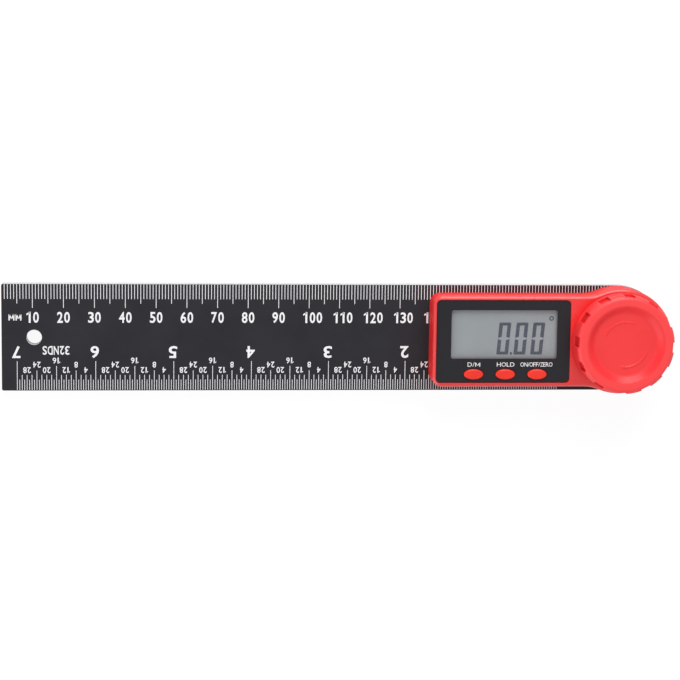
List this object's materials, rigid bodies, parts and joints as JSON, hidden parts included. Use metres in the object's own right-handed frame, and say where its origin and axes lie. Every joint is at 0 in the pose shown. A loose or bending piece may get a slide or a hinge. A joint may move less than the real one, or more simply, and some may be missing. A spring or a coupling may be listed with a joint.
{
  "type": "angle finder with arms",
  "caption": "Digital angle finder: two folding ruler arms on one pivot, display case with push buttons and a notched lock knob.",
  "frame": {"origin": "on the pivot axis, in the plane of the lower arm's underside, which is the face the tool lies on", "axes": "+X along the folded arms from the free end towards the hub, +Y across the arms towards the millimetre edge, +Z out of the display"},
  "size_m": [0.2195, 0.035, 0.0234],
  "materials": {
    "arm_black": "satin black moulded blade",
    "case_red": "semi-gloss red moulding",
    "knob_red": "semi-gloss red moulding",
    "button_red": "glossy orange-red button",
    "panel_black": "smooth printed film",
    "window_clear": "clear film window",
    "display_glass": "grey liquid crystal glass",
    "holder_white": "white moulding",
    "strip_rubber": "layered conductive rubber",
    "board_green": "solder-masked board",
    "chip_black": "potting compound",
    "cell_steel": "nickel-plated can",
    "inner_black": "black moulding",
    "contact_steel": "spring steel",
    "screw_steel": "zinc-plated steel",
    "bolt_steel": "zinc-plated steel",
    "switch_steel": "tactile switch can",
    "washer_polymer": "low-friction film",
    "bush_brass": "turned brass"
  },
  "bodies": {
    "main_arm": {"upper_arm": "arm_black", "case_shell": "case_red", "label_panel": "panel_black", "lcd_window": "window_clear", "lcd_glass": "display_glass", "lcd_holder": "holder_white", "lcd_backer": "holder_white", "contact_strip": "strip_rubber", "circuit_board": "board_green", "encoder_stator": "board_green", "chip_cover": "chip_black", "coin_cell": "cell_steel", "cell_holder": "inner_black", "cell_contact_top": "contact_steel", "cell_contact_bottom": "contact_steel", "battery_cover": "inner_black", "battery_cover_screw": "screw_steel", "pivot_bolt": "bolt_steel", "thrust_washer": "contact_steel", "mode_switch": "switch_steel", "hold_switch": "switch_steel", "zero_switch": "switch_steel", "case_screw_1": "screw_steel", "case_screw_2": "screw_steel", "case_screw_3": "screw_steel", "case_screw_4": "screw_steel", "case_screw_5": "screw_steel"},
    "lower_arm": {"lower_arm": "arm_black", "friction_washer": "washer_polymer", "pivot_bush": "bush_brass", "encoder_rotor": "board_green", "rotor_clip": "contact_steel"},
    "lock_knob": {"lock_knob": "knob_red", "knob_insert": "bush_brass"},
    "mode_button": {"mode_button": "button_red"},
    "hold_button": {"hold_button": "button_red"},
    "zero_button": {"zero_button": "button_red"}
  },
  "joints": [
    {"name": "arm_hinge", "type": "hinge", "parent": "main_arm", "child": "lower_arm", "pos_m": [0, 0, 0], "axis": [0, 0, 1], "continuous": true},
    {"name": "knob_turn", "type": "hinge", "parent": "main_arm", "child": "lock_knob", "pos_m": [0, 0, 0.0145], "axis": [0, 0, 1], "range_deg": [0, 180]},
    {"name": "mode_press", "type": "slide", "parent": "main_arm", "child": "mode_button", "axis": [0, 0, -1], "range_m": [0, 0.0005], "stiffness_N_per_m": 800},
    {"name": "hold_press", "type": "slide", "parent": "main_arm", "child": "hold_button", "axis": [0, 0, -1], "range_m": [0, 0.0005], "stiffness_N_per_m": 800},
    {"name": "zero_press", "type": "slide", "parent": "main_arm", "child": "zero_button", "axis": [0, 0, -1], "range_m": [0, 0.0005], "stiffness_N_per_m": 800}
  ]
}
